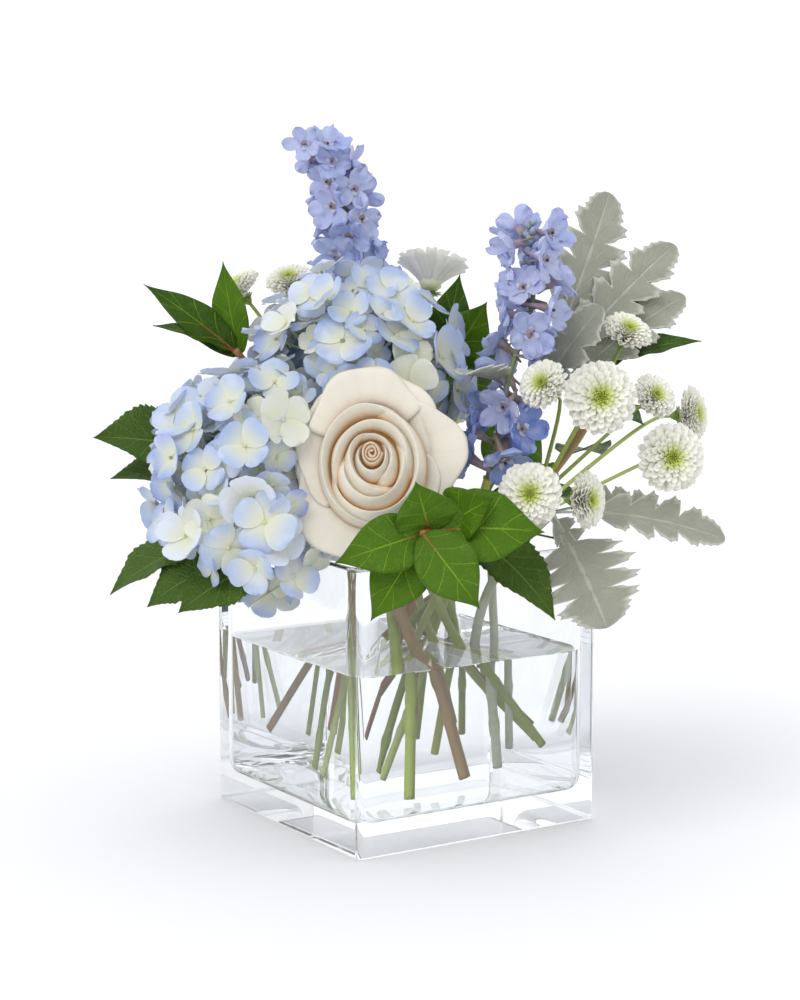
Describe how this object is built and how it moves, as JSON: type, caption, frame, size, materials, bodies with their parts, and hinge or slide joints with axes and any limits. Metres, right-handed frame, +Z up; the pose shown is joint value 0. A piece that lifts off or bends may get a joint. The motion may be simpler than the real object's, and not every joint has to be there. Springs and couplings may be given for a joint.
{
  "type": "hydrangeas in a vase",
  "caption": "Hand-tied bunch of pale blue hydrangeas with a rose, delphinium, white button daisies and leaves, in a clear cube vase of water.",
  "frame": {"origin": "middle of the underside of the vase", "axes": "+Z up, X and Y along the sides of the square vase; the bunch faces between -Y and -X"},
  "size_m": [0.2602, 0.2099, 0.3175],
  "materials": {
    "glass": "clear, polished",
    "water": "clear water",
    "hydrangea": "soft petal",
    "hydrangea_green": "veined leaf",
    "rose": "velvety petal",
    "stem_green": "fresh green stem",
    "delphinium": "soft petal",
    "mum": "soft petal",
    "silver": "felted leaf",
    "salal": "leathery leaf"
  },
  "bodies": {
    "root": {"vase": "glass", "water": "water", "hydrangea_stem_lower": "hydrangea_green", "hydrangea_stem_upper": "hydrangea_green", "rose_stem": "stem_green", "delphinium_stem_tall": "stem_green", "delphinium_stem_loose": "stem_green", "mum_stems_upper": "stem_green", "mum_stems_lower": "stem_green", "mum_stems_left": "stem_green", "mum_stems_back": "stem_green", "salal_left": "salal", "salal_right": "salal", "salal_middle": "salal", "salal_front": "salal", "salal_back": "salal", "salal_corner": "salal", "dusty_miller_upper": "silver", "dusty_miller_lower": "silver", "delphinium_spike_tall": "delphinium", "delphinium_spike_loose": "delphinium", "hydrangea_head_upper": "hydrangea", "hydrangea_head_lower": "hydrangea", "rose_bloom": "rose", "mum_bloom_1_upper": "mum", "mum_bloom_2_upper": "mum", "mum_bloom_3_upper": "mum", "mum_bloom_4_upper": "mum", "mum_bloom_1_lower": "mum", "mum_bloom_2_lower": "mum", "mum_bloom_3_lower": "mum", "mum_bloom_4_lower": "mum", "mum_bloom_1_left": "mum", "mum_bloom_2_left": "mum", "mum_bloom_3_left": "mum", "mum_bloom_1_back": "mum"}
  },
  "joints": []
}
